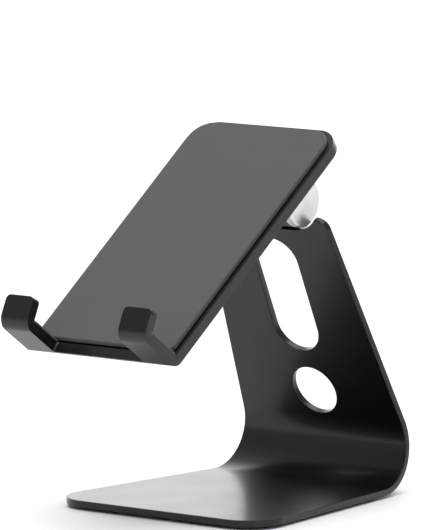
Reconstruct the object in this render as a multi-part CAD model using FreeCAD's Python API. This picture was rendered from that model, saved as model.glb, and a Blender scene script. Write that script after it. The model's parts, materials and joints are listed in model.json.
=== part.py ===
"""Tilting desk stand for a phone: a bent sheet foot and upright, a friction hinge on top, and a cradle
with two hooks.  Millimetres.  X is across, Y goes from the front edge to the back, Z is up, and the
origin is the middle of the foot pad's underside.  Every piece is one node in parts/."""
import FreeCAD, Part
import math
import os
from FreeCAD import Vector

# ---------------------------------------------------------------- driving dimensions
# Sheet metal of the base: foot, bend and upright are one tapering strip
BASE_SHEET = 2.0                # thickness of the strip
FOOT_FRONT_WIDTH = 76.0         # across the front edge of the foot
UPRIGHT_TOP_WIDTH = 43.6        # across the top of the upright, before its corners are rounded
FOOT_FLAT = 65.8                # flat length of the foot, front edge to bend
BEND_RADIUS = 12.0              # inside radius of the bend between foot and upright
UPRIGHT_LEAN = 24.0             # degrees that the upright leans forward from vertical
UPRIGHT_FLAT = 65.9             # flat length of the upright, bend to the top of its ears
FOOT_CORNER = 10.6              # radius of the two front corners
EAR_CORNER = 3.6                # radius of the two top corners

# Openings in the upright, measured up from the end of the bend
CABLE_HOLE_BORE = 15.0
CABLE_HOLE_HEIGHT = 8.4
SLOT_WIDTH = 15.3
SLOT_LOW_CENTRE = 29.3
SLOT_HIGH_CENTRE = 50.9

# Seat of the hinge in the upright's top edge
HINGE_RISE = 5.35               # axis above the top of the ears, along the upright
NOTCH_GAP = 1.85                # between the barrel and the notch's floor
NOTCH_FILLET = 9.9              # radius that rises from the notch's floor to the ears
NOTCH_FLOOR_END = 5.6           # from an end cap's face in to where the flat floor ends
NECK_FOOT_GAP = 0.2             # between the notch's floor and the hinge leaf's neck
NECK_SET_BACK = 0.8             # neck's front face behind the sheet's front face

# Hinge
BARREL_DIAMETER = 14.5          # outside of the knuckles and end caps
HINGE_WIDTH = 32.0              # over the two end caps
CAP_WIDTH = 2.5                 # visible width of one end cap
CAP_WALL = 1.0                  # thickness of a cap's outer face
CAP_CHAMFER = 0.5
CAP_SPIGOT = 0.9                # how far a cap reaches into the knuckle's counterbore
KNUCKLE_WIDTH = 4.0             # one turning knuckle
BUSH_FLANGE = 0.5               # thickness of a bush's flange
BUSH_WALL = 0.9
BUSH_FLANGE_DIAMETER = 12.6
SHAFT_DIAMETER = 6.0
SHAFT_FLATS = 5.0               # across the two flats that turn the shaft with the cradle
SHAFT_THREAD = 5.0              # diameter of the threaded end
SHAFT_HEAD_DIAMETER = 9.0
SHAFT_HEAD = 1.4                # thickness of the shaft's head
RUNNING_GAP = 0.04              # radial gap where the shaft turns in its bushes
SEAT_GAP = 0.02                 # radial gap where pieces are pressed or screwed together
COUNTERBORE_DEPTH = 2.0
COUNTERBORE_DIAMETER = 11.2
WASHER_DIAMETER = 9.0
THRUST_WASHER = 0.5
SPRING_SHEET = 0.35             # sheet of one conical spring washer
SPRING_HEIGHT = 0.55            # its height when pressed in the stack
SPRING_COUNT = 2
NUT_HEIGHT = 1.5
NUT_ACROSS_FLATS = 8.0
SHAFT_PAST_NUT = 0.1

# Hinge leaf, screwed to the back of the upright
LEAF_SHEET = 1.6
LEAF_HALF_WIDTH = 18.6
LEAF_SET_DOWN = 0.45            # leaf's shoulders below the notch's floor
LEAF_BRIDGE = 2.9               # height of the leaf over the slot
LEAF_LEG = 13.0                 # height of its two legs beside the slot
LEAF_LEG_INSIDE = 10.2          # half width of the gap between the legs
LEAF_CORNER = 3.0
LEAF_SCREW_SIDE = 14.6          # screw's place from the middle
LEAF_SCREW_DROPS = (3.3, 9.7)   # screw's places below the shoulders
SCREW_DIAMETER = 3.0
SCREW_BITE = 1.4                # depth of thread in the upright's blind holes
PAN_HEAD_DIAMETER = 5.2
PAN_HEAD_HEIGHT = 1.5
HEX_RECESS = 2.0                # across flats of the key recess
HEX_RECESS_DEPTH = 0.9

# Cradle, in a frame turned with it: origin on the hinge axis, Y up along the phone, Z towards its screen
CRADLE_TILT = 35.9              # degrees from level at rest
CRADLE_SHEET = 3.0              # thickness of the cradle's bent plate
CRADLE_WIDTH = 51.4
CRADLE_TOP = 16.0               # plate above the hinge axis
CRADLE_TOP_CORNER = 8.0
CRADLE_DROP = 78.6              # hinge axis down to the outside corner under the shelf
SHELF_DROOP = 19.3              # degrees that the hooks' shelves slope away from square
SHELF_LENGTH = 17.2             # outside corner to outside corner
LIP_OPEN = 28.3                 # degrees that the lips open away from the phone
LIP_LENGTH = 8.9                # outside corner to the lip's top edge
HOOK_WIDTH = 9.65
HOOK_BEND_RADIUS = 0.8          # inside radius of the hooks' bends
LIP_CORNER = 1.5

# Cradle bracket with the two turning knuckles
BRACKET_SHEET = 2.0
FLANGE_GAP = 0.55               # between the barrel and the bracket's flange
BRACKET_HEIGHT = 26.0
BRACKET_CORNER = 3.0
BRACKET_WEB = 11.0              # height of the webs between flange and knuckles
CRADLE_SCREW_SIDE = 8.5
CRADLE_SCREW_UP = 9.0
CSK_HEAD_DIAMETER = 5.6

# Silicone pads
FOOT_PAD_THICKNESS = 0.8
FOOT_PAD_INSET = 4.0
FOOT_PAD_CORNER = 8.0
BACK_PAD_THICKNESS = 1.5
BACK_PAD_INSET = 1.6
BACK_PAD_CORNER = 6.5
SHELF_PAD_THICKNESS = 0.7
SHELF_PAD_INSET = 0.2
SHELF_PAD_CORNER = 0.8

# ---------------------------------------------------------------- places that follow from them
UPRIGHT_ANGLE = 90 + UPRIGHT_LEAN
BEND_ARC = math.radians(UPRIGHT_ANGLE) * (BEND_RADIUS + BASE_SHEET / 2)
STRIP_LENGTH = FOOT_FLAT + BEND_ARC + UPRIGHT_FLAT
FOOT_FRONT = -(FOOT_FLAT + BEND_RADIUS) / 2
BARREL_RADIUS = BARREL_DIAMETER / 2
NOTCH_DEPTH = BARREL_RADIUS + NOTCH_GAP - HINGE_RISE
LEAF_TOP_DROP = NOTCH_DEPTH + LEAF_SET_DOWN
CRADLE_STANDOFF = BARREL_RADIUS + FLANGE_GAP + BRACKET_SHEET    # hinge axis to the back of the plate
CAP_OUTER = HINGE_WIDTH / 2
KNUCKLE_OUTER = CAP_OUTER - CAP_WIDTH
KNUCKLE_INNER = KNUCKLE_OUTER - KNUCKLE_WIDTH
LEAF_KNUCKLE = KNUCKLE_INNER - BUSH_FLANGE
COUNTERBORE_FLOOR = KNUCKLE_OUTER - COUNTERBORE_DEPTH
SHAFT_RADIUS = SHAFT_DIAMETER / 2
NECK_HALF_WIDTH = LEAF_KNUCKLE
NOTCH_HALF_WIDTH = CAP_OUTER - NOTCH_FLOOR_END + NOTCH_FILLET
AXIS_UP = UPRIGHT_FLAT + HINGE_RISE
LIP_ANGLE = -180 + LIP_OPEN


# ---------------------------------------------------------------- helpers
def rounded_wire(corners):
    """Closed wire in the XY plane through corners (x, y, radius)."""
    edges = []
    starts = []
    for i, (x, y, radius) in enumerate(corners):
        here = Vector(x, y, 0)
        before = Vector(corners[i - 1][0], corners[i - 1][1], 0)
        after = Vector(corners[(i + 1) % len(corners)][0], corners[(i + 1) % len(corners)][1], 0)
        back = (before - here).normalize()
        on = (after - here).normalize()
        half = back.getAngle(on) / 2
        reach = radius / math.tan(half)
        middle = (back + on).normalize() * (radius / math.sin(half) - radius)
        starts.append((here + back * reach, here + middle, here + on * reach, radius))
    for i, (first, middle, last, radius) in enumerate(starts):
        if radius > 0:
            edges.append(Part.Arc(first, middle, last).toShape())
        following = starts[(i + 1) % len(starts)][0]
        if (following - last).Length > 1e-6:
            edges.append(Part.LineSegment(last, following).toShape())
    return Part.Wire(edges)


def prism(corners, thickness):
    """Rounded outline in XY, given a thickness up from Z = 0."""
    return Part.Face(rounded_wire(corners)).extrude(Vector(0, 0, thickness))


def box(x0, x1, y0, y1, z0, z1):
    return Part.makeBox(x1 - x0, y1 - y0, z1 - z0, Vector(x0, y0, z0))


def rod(radius, x0, x1):
    """Cylinder about the X axis."""
    return Part.makeCylinder(radius, x1 - x0, Vector(x0, 0, 0), Vector(1, 0, 0))


def ring(outer, inner, x0, x1):
    return rod(outer, x0, x1).cut(rod(inner, x0 - 1, x1 + 1))


def turned(shape, y, z, angle):
    """Turn a shape about X by an angle in degrees, then carry its origin to (0, y, z)."""
    place = FreeCAD.Placement(Vector(0, y, z), FreeCAD.Rotation(Vector(1, 0, 0), angle))
    moved = shape.copy()
    moved.Placement = place.multiply(moved.Placement)
    return moved


def mirrored(shape):
    return shape.mirror(Vector(0, 0, 0), Vector(1, 0, 0))


def joined(shapes):
    return shapes[0].fuse(shapes[1:]).removeSplitter()


def hexagon(across_flats, x0, x1):
    """Hexagonal bar about the X axis."""
    radius = across_flats / math.sqrt(3)
    points = [Vector(x0, radius * math.cos(math.radians(60 * i)), radius * math.sin(math.radians(60 * i)))
              for i in range(7)]
    return Part.Face(Part.makePolygon(points)).extrude(Vector(x1 - x0, 0, 0))


class SheetWalk:
    """Follows the outside face of a bent sheet in the YZ plane.  Bends turn to the left, and the
    sheet's thickness is on the left too.  Flats are drawn as (across, ahead, corner radius)."""

    def __init__(self, y, z, angle, thickness):
        self.y, self.z, self.angle, self.thickness = y, z, angle, thickness

    def ahead(self, distance):
        self.y += distance * math.cos(math.radians(self.angle))
        self.z += distance * math.sin(math.radians(self.angle))

    def flat(self, corners, thickness=None, lift=0.0):
        solid = prism(corners, thickness or self.thickness)
        solid.translate(Vector(0, 0, lift))
        return turned(solid, self.y, self.z, self.angle)

    def strip(self, left, right, length):
        """Plain stretch between two edges, then step to its end."""
        solid = self.flat([(left, 0, 0), (right, 0, 0), (right, length, 0), (left, length, 0)])
        self.ahead(length)
        return solid

    def section(self, left, right):
        points = [Vector(left, 0, 0), Vector(right, 0, 0), Vector(right, 0, self.thickness),
                  Vector(left, 0, self.thickness), Vector(left, 0, 0)]
        return turned(Part.makePolygon(points), self.y, self.z, self.angle)

    def bend(self, inside_radius, turn, start, end, steps=12):
        """Bend through turn degrees while the edges (left, right) go from start to end."""
        outside = inside_radius + self.thickness
        chord = 2 * outside * math.sin(math.radians(turn / steps / 2))
        sections = [self.section(*start)]
        for i in range(1, steps + 1):
            self.angle += turn / steps / 2
            self.ahead(chord)
            self.angle += turn / steps / 2
            share = i / steps
            edges = [a + (b - a) * share for a, b in zip(start, end)]
            sections.append(self.section(*edges))
        return Part.makeLoft(sections, True, False)


def outside_setback(inside_radius, thickness, turn):
    """From the outside corner of a bend back to where the bend starts."""
    return (inside_radius + thickness) * math.tan(math.radians(turn / 2))


# ---------------------------------------------------------------- base
def strip_half_width(developed):
    """Half width of the base's strip at a developed length from the front edge."""
    share = developed / STRIP_LENGTH
    return (FOOT_FRONT_WIDTH + (UPRIGHT_TOP_WIDTH - FOOT_FRONT_WIDTH) * share) / 2


def upright_walk():
    """Walk standing at the start of the upright's flat, on its back face."""
    walk = SheetWalk(FOOT_FRONT, FOOT_PAD_THICKNESS, 0, BASE_SHEET)
    walk.ahead(FOOT_FLAT)
    outside = BEND_RADIUS + BASE_SHEET
    walk.y += outside * math.sin(math.radians(UPRIGHT_ANGLE))
    walk.z += outside * (1 - math.cos(math.radians(UPRIGHT_ANGLE)))
    walk.angle = UPRIGHT_ANGLE
    return walk


def on_upright(shape):
    """Carry a shape from the upright's own frame: Y up along it, Z = 0 on its back face, Z forward."""
    walk = upright_walk()
    return turned(shape, walk.y, walk.z, walk.angle)


AXIS = on_upright(Part.Vertex(0, AXIS_UP, BASE_SHEET / 2)).Point


def foot_outline(inset=0.0, corner=FOOT_CORNER):
    front = strip_half_width(0) - inset
    back = strip_half_width(FOOT_FLAT) - inset
    end = FOOT_FLAT - inset
    back_corner = corner / 2 if inset else 0
    return [(-front, inset, corner), (front, inset, corner),
            (back, end, back_corner), (-back, end, back_corner)]


def upright_outline():
    low = strip_half_width(FOOT_FLAT + BEND_ARC)
    high = strip_half_width(STRIP_LENGTH)
    return [(-low, 0, 0), (low, 0, 0), (high, UPRIGHT_FLAT, EAR_CORNER), (-high, UPRIGHT_FLAT, EAR_CORNER)]


def notch_outline():
    """Notch under the barrel: a flat floor that rises in an arc to each ear."""
    floor = UPRIGHT_FLAT - NOTCH_DEPTH
    above = floor + 2 * NOTCH_FILLET + NOTCH_DEPTH
    half = NOTCH_HALF_WIDTH
    return [(-half, floor, NOTCH_FILLET), (half, floor, NOTCH_FILLET), (half, above, 0), (-half, above, 0)]


def leaf_screw_places():
    shoulder = UPRIGHT_FLAT - LEAF_TOP_DROP
    return [(side * LEAF_SCREW_SIDE, shoulder - drop) for side in (-1, 1) for drop in LEAF_SCREW_DROPS]


def base_frame():
    walk = SheetWalk(FOOT_FRONT, FOOT_PAD_THICKNESS, 0, BASE_SHEET)
    foot = walk.flat(foot_outline())
    walk.ahead(FOOT_FLAT)
    start = strip_half_width(FOOT_FLAT)
    end = strip_half_width(FOOT_FLAT + BEND_ARC)
    bend = walk.bend(BEND_RADIUS, UPRIGHT_ANGLE, (-start, start), (-end, end), steps=16)
    upright = prism(upright_outline(), BASE_SHEET)
    through = Vector(0, 0, BASE_SHEET + 2)
    hole = Part.makeCylinder(CABLE_HOLE_BORE / 2, through.z, Vector(0, CABLE_HOLE_HEIGHT, -1))
    slot_half = SLOT_WIDTH / 2
    slot = box(-slot_half, slot_half, SLOT_LOW_CENTRE, SLOT_HIGH_CENTRE, -1, BASE_SHEET + 1)
    for centre in (SLOT_LOW_CENTRE, SLOT_HIGH_CENTRE):
        slot = slot.fuse(Part.makeCylinder(slot_half, through.z, Vector(0, centre, -1)))
    notch = prism(notch_outline(), through.z)
    notch.translate(Vector(0, 0, -1))
    upright = upright.cut([hole, slot, notch])
    for x, y in leaf_screw_places():
        blind = Part.makeCylinder(SCREW_DIAMETER / 2 + SEAT_GAP, 1 + SCREW_BITE + 0.1, Vector(x, y, -1))
        upright = upright.cut(blind)
    return joined([foot, bend, on_upright(upright)])


def foot_pad():
    pad = prism(foot_outline(FOOT_PAD_INSET, FOOT_PAD_CORNER), FOOT_PAD_THICKNESS)
    pad.translate(Vector(0, FOOT_FRONT, 0))
    return pad


# ---------------------------------------------------------------- hinge
def at_axis(shape, angle=0.0):
    """Carry a shape modelled about the X axis to the hinge axis."""
    return turned(shape, AXIS.y, AXIS.z, angle)


def hinge_leaf():
    """Fixed half of the hinge: knuckle, neck in the upright's notch, and leaf behind the upright."""
    shoulder = UPRIGHT_FLAT - LEAF_TOP_DROP
    neck_foot = UPRIGHT_FLAT - NOTCH_DEPTH + NECK_FOOT_GAP
    half = [(LEAF_HALF_WIDTH, shoulder, LEAF_CORNER), (LEAF_HALF_WIDTH, shoulder - LEAF_LEG, LEAF_CORNER),
            (LEAF_LEG_INSIDE, shoulder - LEAF_LEG, LEAF_CORNER),
            (LEAF_LEG_INSIDE, shoulder - LEAF_BRIDGE, 1.0)]
    outline = half + [(-x, y, radius) for x, y, radius in reversed(half)]
    leaf = prism(outline, LEAF_SHEET)
    leaf.translate(Vector(0, 0, -LEAF_SHEET))
    neck = box(-NECK_HALF_WIDTH, NECK_HALF_WIDTH, neck_foot, AXIS_UP, 0, BASE_SHEET - NECK_SET_BACK)
    web = box(-NECK_HALF_WIDTH, NECK_HALF_WIDTH, shoulder - LEAF_BRIDGE / 2, AXIS_UP, -LEAF_SHEET, 0)
    for x, y in leaf_screw_places():
        clear = Part.makeCylinder(SCREW_DIAMETER / 2 + 0.1, LEAF_SHEET + 2, Vector(x, y, -LEAF_SHEET - 1))
        leaf = leaf.cut(clear)
    fixed = on_upright(joined([leaf, web, neck]))
    knuckle = at_axis(rod(BARREL_RADIUS, -LEAF_KNUCKLE, LEAF_KNUCKLE))
    bore = at_axis(rod(bush_outside() + SEAT_GAP, -LEAF_KNUCKLE - 1, LEAF_KNUCKLE + 1))
    return joined([fixed, knuckle]).cut(bore)


def leaf_screws():
    screws = []
    for x, y in leaf_screw_places():
        head = Part.makeCylinder(PAN_HEAD_DIAMETER / 2, PAN_HEAD_HEIGHT,
                                 Vector(x, y, -LEAF_SHEET - PAN_HEAD_HEIGHT))
        back_edge = [e for e in head.Edges if abs(e.BoundBox.ZMax + LEAF_SHEET + PAN_HEAD_HEIGHT) < 1e-6]
        head = head.makeFillet(0.45, back_edge)
        shank = Part.makeCylinder(SCREW_DIAMETER / 2, LEAF_SHEET + SCREW_BITE, Vector(x, y, -LEAF_SHEET))
        recess = hexagon(HEX_RECESS, 0, HEX_RECESS_DEPTH)
        recess.rotate(Vector(0, 0, 0), Vector(0, 1, 0), -90)
        recess.translate(Vector(x, y, -LEAF_SHEET - PAN_HEAD_HEIGHT))
        screws.append(on_upright(head.fuse(shank).cut(recess)))
    return Part.Compound(screws)


def bush_outside():
    return SHAFT_RADIUS + RUNNING_GAP + BUSH_WALL


def hinge_bush(side):
    """Flanged bush: a sleeve for half of the knuckle, and a flange that the turning knuckle rubs on."""
    bore = SHAFT_RADIUS + RUNNING_GAP
    bush = ring(bush_outside(), bore, 0.1, LEAF_KNUCKLE).fuse(
        ring(BUSH_FLANGE_DIAMETER / 2, bore, LEAF_KNUCKLE, KNUCKLE_INNER))
    return at_axis(bush if side > 0 else mirrored(bush))


def flatted(radius, across, x0, x1):
    return rod(radius, x0, x1).common(box(x0, x1, -radius, radius, -across / 2, across / 2))


def nut_seat():
    """Where the nut starts: the counterbore's floor plus the washers."""
    return COUNTERBORE_FLOOR + THRUST_WASHER + SPRING_COUNT * SPRING_HEIGHT


def hinge_shaft():
    """Headed shaft: round in the bushes, flatted in the knuckles, threaded at its right end."""
    end = nut_seat() + NUT_HEIGHT + SHAFT_PAST_NUT
    shaft = joined([rod(SHAFT_RADIUS, -KNUCKLE_INNER, KNUCKLE_INNER),
                    flatted(SHAFT_RADIUS, SHAFT_FLATS, -COUNTERBORE_FLOOR, -KNUCKLE_INNER),
                    flatted(SHAFT_RADIUS, SHAFT_FLATS, KNUCKLE_INNER, COUNTERBORE_FLOOR),
                    rod(SHAFT_THREAD / 2, COUNTERBORE_FLOOR, end),
                    rod(SHAFT_HEAD_DIAMETER / 2, -COUNTERBORE_FLOOR - SHAFT_HEAD, -COUNTERBORE_FLOOR)])
    return at_axis(shaft, CRADLE_TILT)


def thrust_washer():
    washer = ring(WASHER_DIAMETER / 2, SHAFT_THREAD / 2 + 0.1,
                  COUNTERBORE_FLOOR, COUNTERBORE_FLOOR + THRUST_WASHER)
    return at_axis(washer)


def spring_washers():
    """Conical washers stacked rim to rim, which press the knuckles onto the bushes' flanges."""
    washers = []
    for i in range(SPRING_COUNT):
        start = COUNTERBORE_FLOOR + THRUST_WASHER + i * SPRING_HEIGHT
        cone = SPRING_HEIGHT - SPRING_SHEET
        inner, outer = SHAFT_THREAD / 2 + 0.1, WASHER_DIAMETER / 2
        profile = [(0, inner), (cone, outer), (cone + SPRING_SHEET, outer), (SPRING_SHEET, inner)]
        if i % 2:
            profile = [(SPRING_HEIGHT - x, r) for x, r in profile]
        points = [Vector(start + x, r, 0) for x, r in profile]
        face = Part.Face(Part.makePolygon(points + points[:1]))
        washers.append(face.revolve(Vector(0, 0, 0), Vector(1, 0, 0), 360))
    return at_axis(Part.Compound(washers))


def hinge_nut():
    nut = hexagon(NUT_ACROSS_FLATS, nut_seat(), nut_seat() + NUT_HEIGHT)
    return at_axis(nut.cut(rod(SHAFT_THREAD / 2 + SEAT_GAP, 0, CAP_OUTER)), CRADLE_TILT)


def end_cap(side):
    """Turned cap, pressed into the knuckle's counterbore over the shaft's end."""
    spigot = COUNTERBORE_DIAMETER / 2 - SEAT_GAP
    hollow = NUT_ACROSS_FLATS / math.sqrt(3) + 0.2
    disc = rod(BARREL_RADIUS, KNUCKLE_OUTER, CAP_OUTER)
    rim = [e for e in disc.Edges if abs(e.BoundBox.XMin - CAP_OUTER) < 1e-6 and e.BoundBox.XLength < 1e-6]
    cap = disc.makeChamfer(CAP_CHAMFER, rim).fuse(rod(spigot, KNUCKLE_OUTER - CAP_SPIGOT, KNUCKLE_OUTER))
    cap = cap.cut(rod(hollow, KNUCKLE_OUTER - 2, CAP_OUTER - CAP_WALL)).removeSplitter()
    return at_axis(cap if side > 0 else mirrored(cap), CRADLE_TILT)


# ---------------------------------------------------------------- cradle
def on_cradle(shape):
    """Carry a shape from the cradle's own frame to its place at rest."""
    return at_axis(shape, CRADLE_TILT)


def cradle_screw_places():
    return [(x * CRADLE_SCREW_SIDE, y * CRADLE_SCREW_UP) for x in (-1, 1) for y in (-1, 1)]


def csk_screw(x, y, gap=0.0):
    """Countersunk screw from the plate's front into the bracket; with a gap it is the hole's shape."""
    front = CRADLE_STANDOFF + CRADLE_SHEET
    head = CSK_HEAD_DIAMETER / 2 + gap
    shank = SCREW_DIAMETER / 2 + gap
    depth = head - shank
    cone = Part.makeCone(shank, head, depth, Vector(x, y, front - depth))
    length = CRADLE_SHEET + BRACKET_SHEET
    return cone.fuse(Part.makeCylinder(shank, length - depth + gap, Vector(x, y, front - length - gap)))


def cradle_bracket():
    """Flange behind the cradle's plate, with two webs that carry the turning knuckles."""
    side = KNUCKLE_OUTER
    half = BRACKET_HEIGHT / 2
    corners = [(-side, -half, BRACKET_CORNER), (side, -half, BRACKET_CORNER),
               (side, half, BRACKET_CORNER), (-side, half, BRACKET_CORNER)]
    flange = prism(corners, BRACKET_SHEET)
    flange.translate(Vector(0, 0, CRADLE_STANDOFF - BRACKET_SHEET))
    for x, y in cradle_screw_places():
        flange = flange.cut(csk_screw(x, y, SEAT_GAP))
    web_half = BRACKET_WEB / 2
    arms = []
    for x0, x1 in ((KNUCKLE_INNER, KNUCKLE_OUTER), (-KNUCKLE_OUTER, -KNUCKLE_INNER)):
        arms.append(box(x0, x1, -web_half, web_half, 0, CRADLE_STANDOFF - BRACKET_SHEET))
        arms.append(rod(BARREL_RADIUS, x0, x1))
    bracket = joined([flange] + arms)
    key = flatted(SHAFT_RADIUS + SEAT_GAP, SHAFT_FLATS + 2 * SEAT_GAP, -KNUCKLE_OUTER, KNUCKLE_OUTER)
    bores = [rod(COUNTERBORE_DIAMETER / 2, COUNTERBORE_FLOOR, CAP_OUTER),
             rod(COUNTERBORE_DIAMETER / 2, -CAP_OUTER, -COUNTERBORE_FLOOR)]
    return on_cradle(bracket.cut([key] + bores))


def shelf_corner():
    """Outside corner under the shelf, as (up, out) in the cradle's frame."""
    return -CRADLE_DROP, CRADLE_STANDOFF


def lip_corner():
    """Outside corner between shelf and lip."""
    up, out = shelf_corner()
    angle = math.radians(SHELF_DROOP)
    return up - SHELF_LENGTH * math.sin(angle), out + SHELF_LENGTH * math.cos(angle)


SHELF_TURN = 90 - SHELF_DROOP
LIP_TURN = 90 + SHELF_DROOP - LIP_OPEN
SHELF_SETBACK = outside_setback(HOOK_BEND_RADIUS, CRADLE_SHEET, SHELF_TURN)
LIP_SETBACK = outside_setback(HOOK_BEND_RADIUS, CRADLE_SHEET, LIP_TURN)


def lip_walk():
    """Walk standing at a lip's top edge, on its outside, heading down to the shelf."""
    up, out = lip_corner()
    walk = SheetWalk(up, out, LIP_ANGLE, CRADLE_SHEET)
    walk.ahead(-LIP_LENGTH)
    return walk


def hook(side):
    """Lip, bend and shelf of one hook, ending where the bend to the back plate starts."""
    outer = side * CRADLE_WIDTH / 2
    inner = side * (CRADLE_WIDTH / 2 - HOOK_WIDTH)
    left, right = min(outer, inner), max(outer, inner)
    walk = lip_walk()
    lip = LIP_LENGTH - LIP_SETBACK
    pieces = [walk.flat([(left, 0, LIP_CORNER), (right, 0, LIP_CORNER), (right, lip, 0), (left, lip, 0)])]
    walk.ahead(lip)
    pieces.append(walk.bend(HOOK_BEND_RADIUS, LIP_TURN, (left, right), (left, right)))
    pieces.append(walk.strip(left, right, SHELF_LENGTH - LIP_SETBACK - SHELF_SETBACK))
    return pieces, walk


def cradle_plate():
    """One bent sheet: back plate, and two hooks with the gap for a plug between them."""
    half = CRADLE_WIDTH / 2
    pieces, walk = hook(-1)
    pieces += hook(1)[0]
    pieces.append(walk.bend(HOOK_BEND_RADIUS, SHELF_TURN, (-half, half), (-half, half)))
    length = CRADLE_DROP - SHELF_SETBACK + CRADLE_TOP
    pieces.append(walk.flat([(-half, 0, 0), (half, 0, 0), (half, length, CRADLE_TOP_CORNER),
                             (-half, length, CRADLE_TOP_CORNER)]))
    plate = joined(pieces)
    for x, y in cradle_screw_places():
        plate = plate.cut(csk_screw(x, y, SEAT_GAP))
    return on_cradle(plate)


def cradle_screws():
    screws = []
    for x, y in cradle_screw_places():
        front = CRADLE_STANDOFF + CRADLE_SHEET
        recess = hexagon(HEX_RECESS, 0, HEX_RECESS_DEPTH)
        recess.rotate(Vector(0, 0, 0), Vector(0, 1, 0), 90)
        recess.translate(Vector(x, y, front))
        screws.append(on_cradle(csk_screw(x, y).cut(recess)))
    return Part.Compound(screws)


# ---------------------------------------------------------------- pads on the cradle
def back_pad():
    half = CRADLE_WIDTH / 2 - BACK_PAD_INSET
    top = CRADLE_TOP - BACK_PAD_INSET
    low = -CRADLE_DROP + SHELF_SETBACK + 0.2
    corners = [(-half, low, 2.0), (half, low, 2.0),
               (half, top, BACK_PAD_CORNER), (-half, top, BACK_PAD_CORNER)]
    pad = prism(corners, BACK_PAD_THICKNESS)
    pad.translate(Vector(0, 0, CRADLE_STANDOFF + CRADLE_SHEET))
    return on_cradle(pad)


def shelf_pad(side):
    """Strip along the top of one hook's shelf, between its two bends."""
    outer = side * (CRADLE_WIDTH / 2 - SHELF_PAD_INSET)
    inner = side * (CRADLE_WIDTH / 2 - HOOK_WIDTH + SHELF_PAD_INSET)
    left, right = min(outer, inner), max(outer, inner)
    walk = hook(side)[1]
    length = SHELF_LENGTH - LIP_SETBACK - SHELF_SETBACK
    walk.ahead(-length)
    corners = [(left, 0, SHELF_PAD_CORNER), (right, 0, SHELF_PAD_CORNER),
               (right, length, 0), (left, length, 0)]
    return on_cradle(walk.flat(corners, SHELF_PAD_THICKNESS, CRADLE_SHEET))


# ---------------------------------------------------------------- nodes
NODES = {
    "base_frame": base_frame,
    "foot_pad": foot_pad,
    "hinge_leaf": hinge_leaf,
    "leaf_screws": leaf_screws,
    "hinge_bush_left": lambda: hinge_bush(-1),
    "hinge_bush_right": lambda: hinge_bush(1),
    "hinge_shaft": hinge_shaft,
    "thrust_washer": thrust_washer,
    "spring_washers": spring_washers,
    "hinge_nut": hinge_nut,
    "end_cap_left": lambda: end_cap(-1),
    "end_cap_right": lambda: end_cap(1),
    "cradle_bracket": cradle_bracket,
    "cradle_plate": cradle_plate,
    "cradle_screws": cradle_screws,
    "back_pad": back_pad,
    "shelf_pad_left": lambda: shelf_pad(-1),
    "shelf_pad_right": lambda: shelf_pad(1),
}

os.makedirs("parts", exist_ok=True)
whole = FreeCAD.BoundBox()
for name, make in NODES.items():
    shape = make()
    if not shape.isValid():
        raise ValueError(name + " is not a valid shape")
    shape.exportStep("parts/" + name + ".step")
    whole.add(shape.BoundBox)
    print(name, len(shape.Solids), "solids", round(shape.Volume, 1), "mm3")
print("hinge axis", round(AXIS.y, 3), round(AXIS.z, 3))
print("size", round(whole.XLength, 2), round(whole.YLength, 2), round(whole.ZLength, 2))
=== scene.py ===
# %% [markdown]
# # A tilting phone stand
# A desk stand made of two bent aluminium sheets: a foot that rises into an upright, and a cradle with
# two hooks that the phone's lower edge rests in.  A friction hinge joins them, with a bright turned
# cap on each end.  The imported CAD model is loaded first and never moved.  It says where everything
# is, and this lesson gives the same pieces eased edges, real surfaces and light.

# %% Load the frame
import json
import math

import bmesh
import bpy
from mathutils import Matrix, Vector
from mathutils.geometry import delaunay_2d_cdt


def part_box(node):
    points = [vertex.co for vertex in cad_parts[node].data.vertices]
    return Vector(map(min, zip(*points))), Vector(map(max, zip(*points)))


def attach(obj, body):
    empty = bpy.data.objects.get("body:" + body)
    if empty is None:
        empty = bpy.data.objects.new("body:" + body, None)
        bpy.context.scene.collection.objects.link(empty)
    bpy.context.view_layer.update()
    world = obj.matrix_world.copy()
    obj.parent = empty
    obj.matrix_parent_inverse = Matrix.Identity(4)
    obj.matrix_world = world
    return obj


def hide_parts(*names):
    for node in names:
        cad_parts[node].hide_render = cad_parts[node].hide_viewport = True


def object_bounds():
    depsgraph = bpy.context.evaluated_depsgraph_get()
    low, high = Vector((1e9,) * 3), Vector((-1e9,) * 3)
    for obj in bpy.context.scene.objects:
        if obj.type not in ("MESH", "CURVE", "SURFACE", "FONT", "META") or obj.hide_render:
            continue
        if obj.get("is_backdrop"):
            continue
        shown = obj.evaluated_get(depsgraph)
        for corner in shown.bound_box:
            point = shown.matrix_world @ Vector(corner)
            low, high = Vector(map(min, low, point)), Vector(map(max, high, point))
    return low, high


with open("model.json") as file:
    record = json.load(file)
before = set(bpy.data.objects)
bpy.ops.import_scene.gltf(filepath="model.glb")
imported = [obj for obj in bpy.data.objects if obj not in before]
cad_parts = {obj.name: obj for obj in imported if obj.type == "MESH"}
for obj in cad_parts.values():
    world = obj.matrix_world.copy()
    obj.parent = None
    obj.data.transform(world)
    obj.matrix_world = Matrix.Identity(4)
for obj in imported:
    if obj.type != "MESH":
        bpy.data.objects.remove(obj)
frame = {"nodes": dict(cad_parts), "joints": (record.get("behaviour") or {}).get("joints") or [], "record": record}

MM = 0.001
cad_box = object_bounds()
nodes = frame["nodes"]

# %% [markdown]
# ## Where things are
# The frame gives the places: the hinge axis from the joint, the front edge and the underside of the
# foot from the CAD box.  The sizes that a box can't tell, such as a bend's radius or a hook's slope,
# are the designer's own, in millimetres.  Everything below is worked out from these.

# %% Sizes of the two sheets, in millimetres and degrees
HINGE = Vector(frame["joints"][0]["pos_m"]) / MM
FOOT_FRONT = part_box("base_frame")[0].y / MM
FOOT_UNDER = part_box("base_frame")[0].z / MM

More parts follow.
